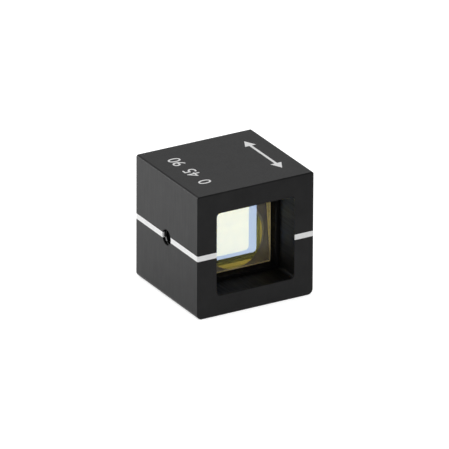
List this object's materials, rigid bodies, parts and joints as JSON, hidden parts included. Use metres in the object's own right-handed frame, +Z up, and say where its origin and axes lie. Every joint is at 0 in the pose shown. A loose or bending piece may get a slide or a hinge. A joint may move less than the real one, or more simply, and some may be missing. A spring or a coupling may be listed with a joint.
{
  "type": "polarizing prism",
  "caption": "Small black cube with a square window in each end, holding two crystal wedges across a thin air gap that polarize a light beam.",
  "frame": {"origin": "centre of the block's bottom face", "axes": "+Y along the light path from the entrance window to the exit window, +Z up, +X towards the side without the set screw"},
  "size_m": [0.0126, 0.012, 0.0127],
  "materials": {
    "anodised_aluminium": "matt black anodised, finely machined",
    "crystal": "polished crystal, faintly yellow, with a bluish coating on its outer faces",
    "spacer_sheet": "thin blackened sheet",
    "line_paint": "white enamel wiped into a groove",
    "black_steel": "black oxide",
    "nylon": "natural nylon"
  },
  "bodies": {
    "root": {"housing": "anodised_aluminium", "front_prism": "crystal", "rear_prism": "crystal", "gap_spacer": "spacer_sheet", "index_line_right": "line_paint", "index_line_front_left": "line_paint", "index_line_rear_left": "line_paint", "set_screw": "black_steel", "screw_tip": "nylon"}
  },
  "joints": []
}
